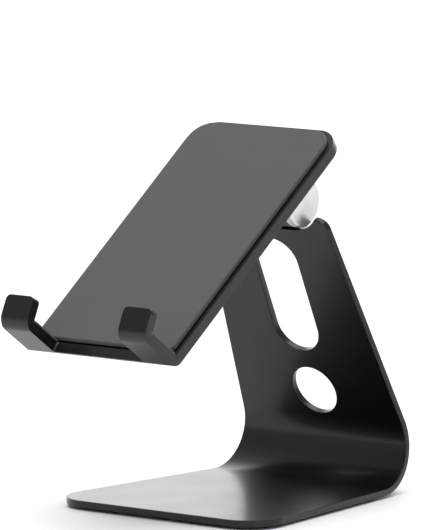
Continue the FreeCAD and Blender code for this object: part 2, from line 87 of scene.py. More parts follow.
BASE_SHEET = 2.0
FOOT_FRONT_WIDTH = 76.0
UPRIGHT_TOP_WIDTH = 43.6
FOOT_FLAT = 65.8
FOOT_BEND_RADIUS = 12.0
UPRIGHT_ANGLE = 114.0
UPRIGHT_FLAT = 65.9
FOOT_CORNER = 10.6
EAR_CORNER = 3.6

CRADLE_SHEET = 3.0
CRADLE_TILT = 35.9
CRADLE_WIDTH = 51.4
CRADLE_STANDOFF = 9.8
CRADLE_TOP = 16.0
CRADLE_TOP_CORNER = 8.0
CRADLE_DROP = 78.6
SHELF_DROOP = 19.3
SHELF_LENGTH = 17.2
LIP_OPEN = 28.3
LIP_LENGTH = 8.9
LIP_CORNER = 1.5
HOOK_WIDTH = 9.65
HOOK_BEND_RADIUS = 0.8
print("hinge axis at", [round(v, 2) for v in HINGE])

# %% [markdown]
# ## Small helpers
# One function adds a node with its settings and links, in a shader tree or a geometry tree.  Another
# turns the hex colour that a designer would name into the linear values that Blender computes with.

# %% Nodes and colours
def add(tree, kind, props=None, values=None, links=None):
    """Add a node: props are its own settings, values its unlinked sockets, links the sockets fed."""
    node = tree.nodes.new(kind)
    for name, value in (props or {}).items():
        setattr(node, name, value)
    for name, value in (values or {}).items():
        node.inputs[name].default_value = value
    for name, source in (links or {}).items():
        tree.links.new(source, node.inputs[name])
    return node


def srgb(code):
    """Linear RGBA of an sRGB hex colour such as '#8a8c90'."""
    channels = [int(code[i:i + 2], 16) / 255 for i in (1, 3, 5)]
    return [c / 12.92 if c <= 0.04045 else ((c + 0.055) / 1.055) ** 2.4 for c in channels] + [1.0]

# %% A mottled surface
# a noise stays mostly between these two, so that part of it is stretched over the whole drift
DRIFT_LOW, DRIFT_HIGH = 0.3, 0.7


def mottled(name, patch, detail, colours, roughness, grain=None, depth=0.0):
    """Material whose colour and roughness drift together in soft patches, over a fine grain in relief.
    Patch, grain and depth are millimetres; colours and roughness each give the two ends of the drift."""
    made = bpy.data.materials.new(name)
    made.use_nodes = True
    tree = made.node_tree
    shader = tree.nodes["Principled BSDF"]
    place = add(tree, "ShaderNodeTexCoord")
    where = add(tree, "ShaderNodeMapping", values={"Scale": (1 / MM,) * 3},
                links={"Vector": place.outputs["Object"]})
    drift = add(tree, "ShaderNodeTexNoise", values={"Scale": 1 / patch, "Detail": detail},
                links={"Vector": where.outputs["Vector"]})
    ramp = add(tree, "ShaderNodeValToRGB", links={"Fac": drift.outputs["Fac"]})
    for element, stop, colour in zip(ramp.color_ramp.elements, (DRIFT_LOW, DRIFT_HIGH), colours):
        element.position = stop
        element.color = srgb(colour)
    gloss = add(tree, "ShaderNodeMapRange", links={"Value": drift.outputs["Fac"]},
                values={"From Min": DRIFT_LOW, "From Max": DRIFT_HIGH,
                        "To Min": roughness[0], "To Max": roughness[1]})
    tree.links.new(ramp.outputs["Color"], shader.inputs["Base Color"])
    tree.links.new(gloss.outputs["Result"], shader.inputs["Roughness"])
    if grain:
        grit = add(tree, "ShaderNodeTexNoise", values={"Scale": 1 / grain, "Detail": 1.0},
                   links={"Vector": where.outputs["Vector"]})
        relief = add(tree, "ShaderNodeBump", values={"Strength": 1.0, "Distance": depth * MM},
                     links={"Height": grit.outputs["Fac"]})
        tree.links.new(relief.outputs["Normal"], shader.inputs["Normal"])
    return made, tree, shader


# %% [markdown]
# ## The finishes
# The sheets are aluminium, bead-blasted and then anodised black.  Blasting leaves a grain of about a
# tenth of a millimetre that spreads each reflection.  Anodising turns the surface to a clear oxide,
# dyes it black and seals it: a dark metal under a thin clear coat.  So the sheet is satin, nearly black
# face on, and as bright as its surroundings where the eye skims along it.  The dye never takes quite
# evenly, so the colour and the roughness drift a little over centimetres.

# %% Black anodised aluminium
BLAST_GRAIN = 0.35              # the real grit is near 0.1 mm, which is too fine to show
DYE_PATCH = 18.0
OXIDE_WEIGHT = 0.45
OXIDE_ROUGHNESS = 0.2

ANODISED, _, shader = mottled("bead_blasted_black_anodised_aluminium", DYE_PATCH, 2.0,
                              ("#29262b", "#2f2c31"), (0.38, 0.43), BLAST_GRAIN, 0.003)
shader.inputs["Metallic"].default_value = 1.0
shader.inputs["Coat Weight"].default_value = OXIDE_WEIGHT
shader.inputs["Coat Roughness"].default_value = OXIDE_ROUGHNESS
print("sheets:", ANODISED.name)

# %% [markdown]
# The caps are turned from bare aluminium and left bright.  The tool leaves fine rings about the axis,
# and rings like these draw each light out into a fan across them.  The shader stretches highlights
# along the tangent of a UV map made for the caps, whose U goes round and whose V goes outwards; a
# quarter turn sets the stretch across the rings.

# %% Turned aluminium
TURNING_FEED = 0.6              # the real feed is about 0.1 mm, drawn coarser so that it shows
RING_DEPTH = 0.0006
BRIGHT_PATCH = 2.5

TURNED, tree, shader = mottled("face_turned_aluminium", BRIGHT_PATCH, 2.0,
                               ("#dededf", "#e6e6e8"), (0.42, 0.48))
turning = add(tree, "ShaderNodeUVMap", {"uv_map": "turning"})
tangent = add(tree, "ShaderNodeTangent", {"direction_type": "UV_MAP", "uv_map": "turning"})
split = add(tree, "ShaderNodeSeparateXYZ", links={"Vector": turning.outputs["UV"]})
# V is the distance from the axis in centimetres, so that a ring is a whole wave of the sine
phase = add(tree, "ShaderNodeMath", {"operation": "MULTIPLY"},
            links={0: split.outputs["Y"]}, values={1: 10 * 2 * math.pi / TURNING_FEED})
ring = add(tree, "ShaderNodeMath", {"operation": "SINE"}, links={0: phase.outputs[0]})
relief = add(tree, "ShaderNodeBump", values={"Strength": 1.0, "Distance": RING_DEPTH * MM},
             links={"Height": ring.outputs[0]})
tree.links.new(relief.outputs["Normal"], shader.inputs["Normal"])
tree.links.new(tangent.outputs["Tangent"], shader.inputs["Tangent"])
shader.inputs["Metallic"].default_value = 1.0
shader.inputs["Anisotropic"].default_value = 0.6
shader.inputs["Anisotropic Rotation"].default_value = 0.25
print("caps:", TURNED.name)

# %% [markdown]
# The hinge's leaf and bracket are steel with a black zinc plating: a thin coat that keeps the look of
# metal, a little lighter and rougher than the anodised sheets.  The screws are black oxide, oily and
# darker.  The shaft, washers and nut are plain bright steel.

# %% Steels
STEEL_PATCH, STEEL_GRAIN, STEEL_DEPTH = 4.0, 0.4, 0.003


def steel(name, colours, roughness):
    made, _, shader = mottled(name, STEEL_PATCH, 4.0, colours, roughness, STEEL_GRAIN, STEEL_DEPTH)
    shader.inputs["Metallic"].default_value = 1.0
    return made


BLACK_ZINC = steel("black_zinc_plated_steel", ("#29282b", "#333235"), (0.34, 0.44))
BLACK_OXIDE = steel("black_oxide_steel", ("#201f20", "#2b2a2c"), (0.28, 0.36))
BRIGHT_STEEL = steel("bright_turned_steel", ("#a9a8a6", "#bdbcba"), (0.22, 0.32))
print("steels:", BLACK_ZINC.name, BLACK_OXIDE.name, BRIGHT_STEEL.name)

# %% [markdown]
# The pads are moulded silicone: soft, dull and slightly dusty, with the fine texture of the mould.
# Silicone is a plastic to the eye, so it isn't metallic, its index of refraction is 1.41, and a faint
# sheen stands for the dust that it always holds.  The bushes are acetal with graphite in it.

# %% Silicone and acetal
MOULD_GRAIN = 0.5               # spark-eroded moulds are near 0.1 mm, drawn coarser so that it shows
DUST_PATCH = 9.0
ACETAL_PATCH = 3.0

SILICONE, _, shader = mottled("moulded_grey_silicone", DUST_PATCH, 5.0, ("#37363a", "#3f3e42"),
                              (0.55, 0.68), MOULD_GRAIN, 0.01)
shader.inputs["IOR"].default_value = 1.41
shader.inputs["Sheen Weight"].default_value = 0.15
shader.inputs["Sheen Roughness"].default_value = 0.6

ACETAL, _, shader = mottled("moulded_black_acetal", ACETAL_PATCH, 2.0,
                            ("#1b1b1c", "#242425"), (0.35, 0.45))
shader.inputs["IOR"].default_value = 1.48
print("plastics:", SILICONE.name, ACETAL.name)

# %% [markdown]
# ## Bent sheet metal
# A sheet-metal part starts as a flat blank: an outline with holes, cut from sheet, its edges eased,
# and only then folded.  The mesh is made in the same order.  The blank is filled by a constrained
# triangulation that leaves the holes open, given its thickness, and its rims are bevelled while they
# are still flat and square.  Then it is cut across where it will bend, and each point is carried to
# its place on the bent path.

# %% Outlines
ARC_STEP = math.radians(6)


def outline(corners):
    """Closed outline through corners (x, y, radius), with each round corner in short steps."""
    points = []
    for i, (x, y, radius) in enumerate(corners):
        here = Vector((x, y))
        back = (Vector(corners[i - 1][:2]) - here).normalized()
        on = (Vector(corners[(i + 1) % len(corners)][:2]) - here).normalized()
        if radius == 0:
            points.append(here)
            continue
        half = back.angle(on) / 2
        centre = here + (back + on).normalized() * (radius / math.sin(half))
        arm = here + back * (radius / math.tan(half)) - centre
        sweep = math.pi - 2 * half
        side = 1 if back.x * on.y - back.y * on.x < 0 else -1
        count = max(3, math.ceil(sweep / ARC_STEP))
        for k in range(count + 1):
            points.append(centre + Matrix.Rotation(side * sweep * k / count, 2) @ arm)
    return points


def stadium(low, high, radius):
    """Slot with round ends, centred on x = 0; with low equal to high it is a circle."""
    half_circle = [k * ARC_STEP for k in range(round(math.pi / ARC_STEP) + 1)]
    top = [Vector((radius * math.cos(a), high + radius * math.sin(a))) for a in half_circle]
    bottom = [Vector((-radius * math.cos(a), low - radius * math.sin(a))) for a in half_circle]
    if low == high:
        return top[:-1] + bottom[:-1]
    return top + bottom


def moved(points, x, y):
    return [p + Vector((x, y)) for p in points]


# %% The bent path
class BentPath:
    """Middle line of a bent sheet in the YZ plane.  It turns left at each bend, and height is counted
    from the sheet's right-hand face.  Stretches are (length,) for a flat and (radius, turn) for a
    bend with that inside radius."""

    def __init__(self, start, heading, thickness, stretches):
        self.thickness = thickness
        self.stretches = []
        self.cuts = []
        reached = 0.0
        point = Vector(start) + self.left(heading) * thickness / 2
        for stretch in stretches:
            if len(stretch) == 1:
                radius, turn, length = None, 0.0, stretch[0]
            else:
                radius, turn = stretch[0] + thickness / 2, math.radians(stretch[1])
                length = radius * turn
                count = max(10, math.ceil(turn / math.radians(3)))
                self.cuts += [reached + length * k / count for k in range(count + 1)]
            self.stretches.append((reached, reached + length, point, heading, radius))
            point = self.follow(point, heading, radius, length)
            heading += turn
            reached += length
        self.length = reached

    @staticmethod
    def left(heading):
        return Vector((-math.sin(heading), math.cos(heading)))

    def follow(self, point, heading, radius, distance):
        if radius is None:
            return point + Vector((math.cos(heading), math.sin(heading))) * distance
        centre = point + self.left(heading) * radius
        return centre - self.left(heading + distance / radius) * radius

    def place(self, x, along, height):
        """Where the blank's point (x, along, height) lies in the bent sheet."""
        for low, high, point, heading, radius in self.stretches:
            if along <= high + 1e-6 or high == self.length:
                distance = along - low
                heading_here = heading + (distance / radius if radius else 0.0)
                spot = self.follow(point, heading, radius, distance)
                spot += self.left(heading_here) * (height - self.thickness / 2)
                return Vector((x, spot.x, spot.y))


# %% From blank to bent sheet
def finished(name, bm, finish, sharp=35.0):
    """Mesh object from a bmesh in millimetres, smooth but for edges sharper than so many degrees."""
    bmesh.ops.recalc_face_normals(bm, faces=bm.faces)
    # on a bent sheet the faces can agree with each other and still all point inwards
    if bm.calc_volume(signed=True) < 0:
        bmesh.ops.reverse_faces(bm, faces=bm.faces)
    bmesh.ops.scale(bm, vec=(MM,) * 3, verts=bm.verts)
    mesh = bpy.data.meshes.new(name)
    bm.to_mesh(mesh)
    bm.free()
    mesh.shade_smooth()
    mesh.set_sharp_from_angle(angle=math.radians(sharp))
    mesh.materials.append(finish)
    made = bpy.data.objects.new(name, mesh)
    bpy.context.scene.collection.objects.link(made)
    weighted = made.modifiers.new("flat faces keep their normals", "WEIGHTED_NORMAL")
    weighted.keep_sharp = True
    return made


FEW_FACES_WITH_HOLES = 5        # the triangulation's kind of result: as few faces as a mesh allows


def blank(loops, thickness, easing, segments=2):
    """Flat sheet as a bmesh: outer loop and holes filled, thickened, and rims eased."""
    points = [p for loop in loops for p in loop]
    rings = []
    for loop in loops:
        first = sum(len(ring) for ring in rings)
        rings.append(list(range(first, first + len(loop))))
    verts, _, faces, *_ = delaunay_2d_cdt(points, [], rings, FEW_FACES_WITH_HOLES, 1e-6)
    bm = bmesh.new()
    corners = [bm.verts.new((v.x, v.y, 0)) for v in verts]
    for face in faces:
        bm.faces.new([corners[i] for i in face])
    grown = bmesh.ops.extrude_face_region(bm, geom=bm.faces[:], use_keep_orig=True)
    lifted = [item for item in grown["geom"] if isinstance(item, bmesh.types.BMVert)]
    bmesh.ops.translate(bm, vec=(0, 0, thickness), verts=lifted)
    bmesh.ops.recalc_face_normals(bm, faces=bm.faces)
    rims = [e for e in bm.edges if len(e.link_faces) == 2
            and sorted(round(abs(f.normal.z)) for f in e.link_faces) == [0, 1]]
    bmesh.ops.bevel(bm, geom=rims, offset=easing, segments=segments, profile=0.5, affect="EDGES",
                    clamp_overlap=True)
    return bm


def bend_blank(bm, path):
    """Cut the blank across its bends, then carry it along the path."""
    for cut in path.cuts:
        bmesh.ops.bisect_plane(bm, geom=bm.verts[:] + bm.edges[:] + bm.faces[:], dist=1e-6,
                               plane_co=(0, cut, 0), plane_no=(0, 1, 0))
    for v in bm.verts:
        v.co = path.place(v.co.x, v.co.y, v.co.z)


# %% [markdown]
# ## Foot and upright
# One strip, 2 mm thick, which tapers evenly from the front edge of the foot to the ears at the top of
# the upright.  It has a round hole for the cable low in the upright, a long slot above it, and a
# notch between the ears that makes room for the hinge.  On a computer the taper is simple only in the
# flat blank: once bent, its edges would be curves in space.

# %% The foot's blank
RIM_EASING = 0.3
CABLE_HOLE_HEIGHT = 8.4
CABLE_HOLE = next(m for m in frame["record"]["mounts"] if m["name"] == "cable_hole")["dims"]["r_mm"]
SLOT_LOW, SLOT_HIGH, SLOT_HALF = 29.3, 50.9, 7.65
NOTCH_DEPTH, NOTCH_FLOOR_HALF, NOTCH_FILLET = 3.75, 10.4, 9.9

foot_path = BentPath((FOOT_FRONT, FOOT_UNDER), 0.0, BASE_SHEET,
                     [(FOOT_FLAT,), (FOOT_BEND_RADIUS, UPRIGHT_ANGLE), (UPRIGHT_FLAT,)])
upright_start = foot_path.length - UPRIGHT_FLAT
strip_top = foot_path.length

# the notch rises from its floor in an arc that stops at the ear's top
NOTCH_STEPS = 9
rise = math.acos(1 - NOTCH_DEPTH / NOTCH_FILLET)
notch_arc = [(NOTCH_FLOOR_HALF + NOTCH_FILLET * math.sin(rise * k / NOTCH_STEPS),
              strip_top - NOTCH_DEPTH + NOTCH_FILLET * (1 - math.cos(rise * k / NOTCH_STEPS)), 0)
             for k in range(NOTCH_STEPS, -1, -1)]
right_half = [(FOOT_FRONT_WIDTH / 2, 0, FOOT_CORNER), (UPRIGHT_TOP_WIDTH / 2, strip_top, EAR_CORNER)]
right_half += notch_arc
left_half = [(-x, y, radius) for x, y, radius in reversed(right_half)]
strip_loops = [outline(right_half + left_half),
               moved(stadium(0, 0, CABLE_HOLE), 0, upright_start + CABLE_HOLE_HEIGHT),
               moved(stadium(SLOT_LOW, SLOT_HIGH, SLOT_HALF), 0, upright_start)]
strip = blank(strip_loops, BASE_SHEET, RIM_EASING)
bend_blank(strip, foot_path)
foot = finished("foot_and_upright", strip, ANODISED)
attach(foot, "base")
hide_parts("base_frame")
print("strip", round(strip_top, 2), "mm long before bending,", len(foot.data.polygons), "faces")

# %% [markdown]
# ## Cradle
# The cradle is one sheet too, 3 mm thick.  Its blank is a plate with two narrow tabs.  Each tab is
# folded twice with a tight bend: once for the sloping shelf, and once for the lip, which opens away
# from the phone.  The path starts at a lip's top edge and ends at the top of the plate.  It is turned
# with the cradle's tilt and carried to the hinge axis.

# %% The cradle's blank
def setback(turn):
    """From the outside corner of a hook's bend back to where the bend starts."""
    return (HOOK_BEND_RADIUS + CRADLE_SHEET) * math.tan(math.radians(turn) / 2)


def in_cradle(up, out):
    """Point of the cradle's own plane, up along the phone and out towards it, as (y, z)."""
    tilt = math.radians(CRADLE_TILT)
    return Vector((HINGE.y + up * math.cos(tilt) - out * math.sin(tilt),
                   HINGE.z + up * math.sin(tilt) + out * math.cos(tilt)))


SHELF_TURN = 90 - SHELF_DROOP
LIP_TURN = 90 + SHELF_DROOP - LIP_OPEN
droop, opening = math.radians(SHELF_DROOP), math.radians(LIP_OPEN)
lip_flat = LIP_LENGTH - setback(LIP_TURN)
shelf_flat = SHELF_LENGTH - setback(LIP_TURN) - setback(SHELF_TURN)
plate_flat = CRADLE_DROP - setback(SHELF_TURN) + CRADLE_TOP
lip_top_up = -CRADLE_DROP - SHELF_LENGTH * math.sin(droop) + LIP_LENGTH * math.cos(opening)
lip_top_out = CRADLE_STANDOFF + SHELF_LENGTH * math.cos(droop) + LIP_LENGTH * math.sin(opening)

cradle_path = BentPath(in_cradle(lip_top_up, lip_top_out),
                       math.radians(CRADLE_TILT + LIP_OPEN - 180), CRADLE_SHEET,
                       [(lip_flat,), (HOOK_BEND_RADIUS, LIP_TURN), (shelf_flat,),
                        (HOOK_BEND_RADIUS, SHELF_TURN), (plate_flat,)])
hook_root = cradle_path.stretches[3][0]

# %% Fold it
CRADLE_EASING = 0.4
HOOK_ROOT_CORNER = 0.6
CRADLE_SCREW_SIDE, CRADLE_SCREW_UP, CRADLE_SCREW_HOLE = 8.5, 9.0, 1.52

edge = CRADLE_WIDTH / 2
inside = edge - HOOK_WIDTH
right_half = [(inside, hook_root, HOOK_ROOT_CORNER), (inside, 0, LIP_CORNER), (edge, 0, LIP_CORNER),
              (edge, cradle_path.length, CRADLE_TOP_CORNER)]
left_half = [(-x, y, radius) for x, y, radius in reversed(right_half)]
axis_along = cradle_path.length - CRADLE_TOP
screw_holes = [moved(stadium(0, 0, CRADLE_SCREW_HOLE),
                     x * CRADLE_SCREW_SIDE, axis_along + y * CRADLE_SCREW_UP)
               for x in (-1, 1) for y in (-1, 1)]
sheet = blank([outline(right_half + left_half)] + screw_holes, CRADLE_SHEET, CRADLE_EASING)
bend_blank(sheet, cradle_path)
cradle = finished("cradle_sheet", sheet, ANODISED)
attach(cradle, "cradle")
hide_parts("cradle_plate")
print("cradle blank", round(cradle_path.length, 2), "mm long,", len(cradle.data.polygons), "faces")

# %% [markdown]
# ## Silicone pads
# A moulded pad has a flat face and a rounded rim all the way round its free side.  So it is made like
# a blank, but with a rim eased by more steps, and laid on a sheet: the back pad on the cradle's
# plate, a strip on each shelf, and one under the foot.

# %% Lay a pad
PAD_RIM_STEPS = 3


def laid_pad(name, corners, thickness, easing, origin, heading, node, body):
    """Pad with a rounded rim.  origin is where the outline's y = 0 lies in the YZ plane, and heading
    the direction of its y; the pad grows to the left of that."""
    bm = blank([outline(corners)], thickness, easing, PAD_RIM_STEPS)
    for v in bm.verts:
        spot = Vector(origin) + Matrix.Rotation(heading, 2) @ Vector((v.co.y, v.co.z))
        v.co = Vector((v.co.x, spot.x, spot.y))
    made = finished(name, bm, SILICONE)
    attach(made, body)
    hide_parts(node)
    return made


# %% Back pad and foot pad
BACK_PAD, BACK_PAD_INSET, BACK_PAD_CORNER, BACK_PAD_LOW_CORNER = 1.5, 1.6, 6.5, 2.0
BACK_PAD_LIFT, BACK_PAD_EASING = 0.2, 0.45
FOOT_PAD_INSET, FOOT_PAD_CORNER, FOOT_PAD_EASING = 4.0, 8.0, 0.25

pad_half = CRADLE_WIDTH / 2 - BACK_PAD_INSET
pad_low = setback(SHELF_TURN) - CRADLE_DROP + BACK_PAD_LIFT
pad_top = CRADLE_TOP - BACK_PAD_INSET
laid_pad("cradle_back_pad",
         [(-pad_half, pad_low, BACK_PAD_LOW_CORNER), (pad_half, pad_low, BACK_PAD_LOW_CORNER),
          (pad_half, pad_top, BACK_PAD_CORNER), (-pad_half, pad_top, BACK_PAD_CORNER)],
         BACK_PAD, BACK_PAD_EASING, in_cradle(0, CRADLE_STANDOFF + CRADLE_SHEET),
         math.radians(CRADLE_TILT), "back_pad", "cradle")


def strip_half_width(along):
    return (FOOT_FRONT_WIDTH + (UPRIGHT_TOP_WIDTH - FOOT_FRONT_WIDTH) * along / strip_top) / 2


front_half = strip_half_width(0) - FOOT_PAD_INSET
rear_half = strip_half_width(FOOT_FLAT) - FOOT_PAD_INSET
rear = FOOT_FLAT - FOOT_PAD_INSET
laid_pad("pad_under_foot",
         [(-front_half, FOOT_PAD_INSET, FOOT_PAD_CORNER), (front_half, FOOT_PAD_INSET, FOOT_PAD_CORNER),
          (rear_half, rear, FOOT_PAD_CORNER / 2), (-rear_half, rear, FOOT_PAD_CORNER / 2)],
         FOOT_UNDER, FOOT_PAD_EASING, (FOOT_FRONT, 0.0), 0.0, "foot_pad", "base")

# %% Shelf strips
SHELF_PAD, SHELF_PAD_INSET, SHELF_PAD_CORNER, SHELF_PAD_EASING = 0.7, 0.2, 0.8, 0.2

_, _, shelf_point, shelf_heading, _ = cradle_path.stretches[2]
shelf_top = shelf_point + BentPath.left(shelf_heading) * CRADLE_SHEET / 2
for side, word in ((-1, "left"), (1, "right")):
    a, b = sorted((side * (edge - SHELF_PAD_INSET), side * (inside + SHELF_PAD_INSET)))
    laid_pad("shelf_strip_" + word,
             [(a, 0, SHELF_PAD_CORNER), (b, 0, SHELF_PAD_CORNER),
              (b, shelf_flat, 0), (a, shelf_flat, 0)],
             SHELF_PAD, SHELF_PAD_EASING, shelf_top, shelf_heading, "shelf_pad_" + word, "cradle")

# %% [markdown]
# ## End caps
# A turned part is a profile swept once round its axis, which is just what a lathe does.  The profile
# here has the cap's flat face, its chamfer and the short wall that shows beside the knuckle, and the
# spigot behind it that is pressed into the knuckle.  The sweep makes its own UV map as it goes.

# %% Turn a cap
CAP_STEPS = 128
CAP_FACE_RINGS = 6
CAP_WIDTH, CAP_CHAMFER, CAP_WALL = 2.5, 0.5, 1.0
SPIGOT_RADIUS, SPIGOT_HOLLOW = 5.58, 4.8
SHOULDER_EASE = 0.12


def turned_cap(name, node, side):
    low, high = (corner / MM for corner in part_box(node))
    radius = (high.z - low.z) / 2
    face = high.x if side > 0 else -low.x
    root = low.x if side > 0 else -high.x
    shoulder = face - CAP_WIDTH
    inner_face = face - CAP_WALL
    flat = radius - CAP_CHAMFER
    # the few hundredths take the sharpness off each end of the chamfer
    profile = [(face, (flat - 0.08) * k / CAP_FACE_RINGS) for k in range(CAP_FACE_RINGS + 1)]
    profile += [(face - 0.03, flat + 0.02), (face - CAP_CHAMFER + 0.06, radius - 0.04),
                (face - CAP_CHAMFER - 0.06, radius), (shoulder + SHOULDER_EASE, radius),
                (shoulder, radius - SHOULDER_EASE), (shoulder, SPIGOT_RADIUS),
                (root, SPIGOT_RADIUS), (root, SPIGOT_HOLLOW),
                (inner_face, SPIGOT_HOLLOW), (inner_face, 0)]
    bm = bmesh.new()
    turning = bm.loops.layers.uv.new("turning")
    rings = []
    for x, r in profile:
        if r == 0:
            rings.append([bm.verts.new((side * x, HINGE.y, HINGE.z))] * CAP_STEPS)
            continue
        angles = [2 * math.pi * k / CAP_STEPS for k in range(CAP_STEPS)]
        rings.append([bm.verts.new((side * x, HINGE.y + r * math.cos(a), HINGE.z + r * math.sin(a)))
                      for a in angles])
    for (_, r0), (_, r1), inner, outer in zip(profile, profile[1:], rings, rings[1:]):
        for k in range(CAP_STEPS):
            following = (k + 1) % CAP_STEPS
            corners = [(inner[k], k, r0), (outer[k], k, r1), (outer[following], k + 1, r1),
                       (inner[following], k + 1, r0)]
            if inner[k] is inner[following]:
                corners.pop()
            if outer[k] is outer[following]:
                corners.pop(1)
            made = bm.faces.new([corner[0] for corner in corners])
            for loop, (_, step, r) in zip(made.loops, corners):
                loop[turning].uv = (step / CAP_STEPS, r / 10)
    cap = finished(name, bm, TURNED, sharp=30.0)
    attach(cap, "cradle")
    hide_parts(node)
    return cap


for side, word in ((-1, "left"), (1, "right")):
    turned_cap("turned_cap_" + word, "end_cap_" + word, side)

# %% [markdown]
# ## Hinge leaf and bracket
# These two are pressed and milled steel with the exact shape that the CAD model gives.  Real edges
# are never razor sharp, though, so each is a copy of the CAD mesh with its doubles merged, its flat
# faces cleaned, and a narrow bevel on what is left of its edges.

# %% Ease the edges of a CAD shape
SAME_POINT = 0.002              # doubles of the CAD mesh lie closer than this
FLAT_WITHIN, BEVEL_OVER = 0.5, 40.0


def eased(name, node, body, finish, width):
    mesh = nodes[node].data.copy()
    mesh.name = name
    bm = bmesh.new()
    bm.from_mesh(mesh)
    bmesh.ops.remove_doubles(bm, verts=bm.verts, dist=SAME_POINT * MM)
    bmesh.ops.dissolve_limit(bm, angle_limit=math.radians(FLAT_WITHIN), verts=bm.verts, edges=bm.edges)
    bm.to_mesh(mesh)
    bm.free()
    mesh.materials.clear()
    mesh.materials.append(finish)
    mesh.shade_smooth()
    made = bpy.data.objects.new(name, mesh)
    bpy.context.scene.collection.objects.link(made)
    bevel = made.modifiers.new("eased edges", "BEVEL")
    bevel.width = width * MM
    bevel.segments = 2
    bevel.angle_limit = math.radians(BEVEL_OVER)
    bevel.use_clamp_overlap = False
    weighted = made.modifiers.new("flat faces keep their normals", "WEIGHTED_NORMAL")
    weighted.keep_sharp = True
    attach(made, body)
    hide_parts(node)
    return made


PRESSED_EDGE = 0.15
eased("hinge_leaf_eased", "hinge_leaf", "base", BLACK_ZINC, PRESSED_EDGE)
eased("cradle_bracket_eased", "cradle_bracket", "cradle", BLACK_ZINC, PRESSED_EDGE)

# %% [markdown]
# ## Leaf screws
# Four pan-head screws hold the leaf to the back of the upright, in two rows of two.  One screw is
# modelled with its domed head and hex recess.  A geometry tree then sets it on a small grid, so the
# pattern's two spacings are inputs that can be changed, and the result is made plain mesh again.

# %% One screw, its axis along Z and its head up
SCREW_HEAD_RADIUS, SCREW_HEAD_HEIGHT, SCREW_RADIUS, SCREW_LENGTH = 2.6, 1.5, 1.5, 3.0
RECESS_ACROSS, RECESS_DEPTH, RECESS_LEAD, RECESS_FLARE = 2.0, 0.9, 0.08, 1.08
DOME_IN, DOME_DOWN, DOME_STEPS = 0.6, 0.45, 5
SCREW_TIP, SCREW_RIM = 0.2, 0.1
SCREW_STEPS = 48


def one_screw():
    """Half profile swept round Z, with the hexagon let into the top of the head."""
    bm = bmesh.new()
    dome = [math.radians(90) * k / DOME_STEPS for k in range(DOME_STEPS + 1)]
    profile = [(SCREW_RADIUS - SCREW_TIP, -SCREW_LENGTH), (SCREW_RADIUS, SCREW_TIP - SCREW_LENGTH),
               (SCREW_RADIUS, 0), (SCREW_HEAD_RADIUS - SCREW_RIM, 0), (SCREW_HEAD_RADIUS, SCREW_RIM)]
    profile += [(SCREW_HEAD_RADIUS - DOME_IN * (1 - math.cos(a)),
                 SCREW_HEAD_HEIGHT - DOME_DOWN * (1 - math.sin(a))) for a in dome]
    rings = []
    angles = [2 * math.pi * k / SCREW_STEPS for k in range(SCREW_STEPS)]
    for r, z in profile:
        rings.append([bm.verts.new((r * math.cos(a), r * math.sin(a), z)) for a in angles])
    # the hexagon's radius at an angle is its apothem over the cosine of the angle from a flat
    sixth = math.radians(60)
    for grow, z in ((RECESS_FLARE, SCREW_HEAD_HEIGHT), (1.0, SCREW_HEAD_HEIGHT - RECESS_LEAD),
                    (1.0, SCREW_HEAD_HEIGHT - RECESS_DEPTH)):
        ring = []
        for a in angles:
            r = grow * RECESS_ACROSS / 2 / math.cos((a + sixth / 2) % sixth - sixth / 2)
            ring.append(bm.verts.new((r * math.cos(a), r * math.sin(a), z)))
        rings.append(ring)
    for inner, outer in zip(rings, rings[1:]):
        for k in range(SCREW_STEPS):
            following = (k + 1) % SCREW_STEPS
            bm.faces.new([inner[k], inner[following], outer[following], outer[k]])
    bm.faces.new(rings[0])
    bm.faces.new(rings[-1])
    return finished("one_pan_head_screw", bm, BLACK_OXIDE, sharp=40.0)


# %% Set four of them with a geometry tree
SCREW_SIDE, SCREW_ROWS = 29.2, 6.4
LEAF_SHEET, LEAF_TOP_DROP, SCREW_ROWS_DROP = 1.6, 4.2, 6.5


def screw_grid(screw):
    tree = bpy.data.node_groups.new("screws_on_a_grid", "GeometryNodeTree")
    tree.interface.new_socket("Geometry", in_out="OUTPUT", socket_type="NodeSocketGeometry")
    sockets = {}
    for name, value in (("Side spacing", SCREW_SIDE * MM), ("Row spacing", SCREW_ROWS * MM)):
        sockets[name] = tree.interface.new_socket(name, in_out="INPUT", socket_type="NodeSocketFloat")
        sockets[name].default_value = value
    given = add(tree, "NodeGroupInput")
    grid = add(tree, "GeometryNodeMeshGrid", values={"Vertices X": 2, "Vertices Y": 2},
               links={"Size X": given.outputs["Side spacing"], "Size Y": given.outputs["Row spacing"]})
    info = add(tree, "GeometryNodeObjectInfo", values={"Object": screw})
    placed = add(tree, "GeometryNodeInstanceOnPoints",
                 links={"Points": grid.outputs["Mesh"], "Instance": info.outputs["Geometry"]})
    real = add(tree, "GeometryNodeRealizeInstances", links={"Geometry": placed.outputs["Instances"]})
    painted = add(tree, "GeometryNodeSetMaterial", values={"Material": BLACK_OXIDE},
                  links={"Geometry": real.outputs["Geometry"]})
    add(tree, "NodeGroupOutput", links={"Geometry": painted.outputs["Geometry"]})
    return tree, sockets


screw = one_screw()
tree, sockets = screw_grid(screw)
holder = bpy.data.objects.new("screw_grid", bpy.data.meshes.new("screw_grid"))
bpy.context.scene.collection.objects.link(holder)
grid = holder.modifiers.new("grid", "NODES")
grid.node_group = tree
grid[sockets["Side spacing"].identifier] = SCREW_SIDE * MM
grid[sockets["Row spacing"].identifier] = SCREW_ROWS * MM
bpy.context.view_layer.update()
mesh = bpy.data.meshes.new_from_object(holder.evaluated_get(bpy.context.evaluated_depsgraph_get()))
holder.modifiers.remove(grid)

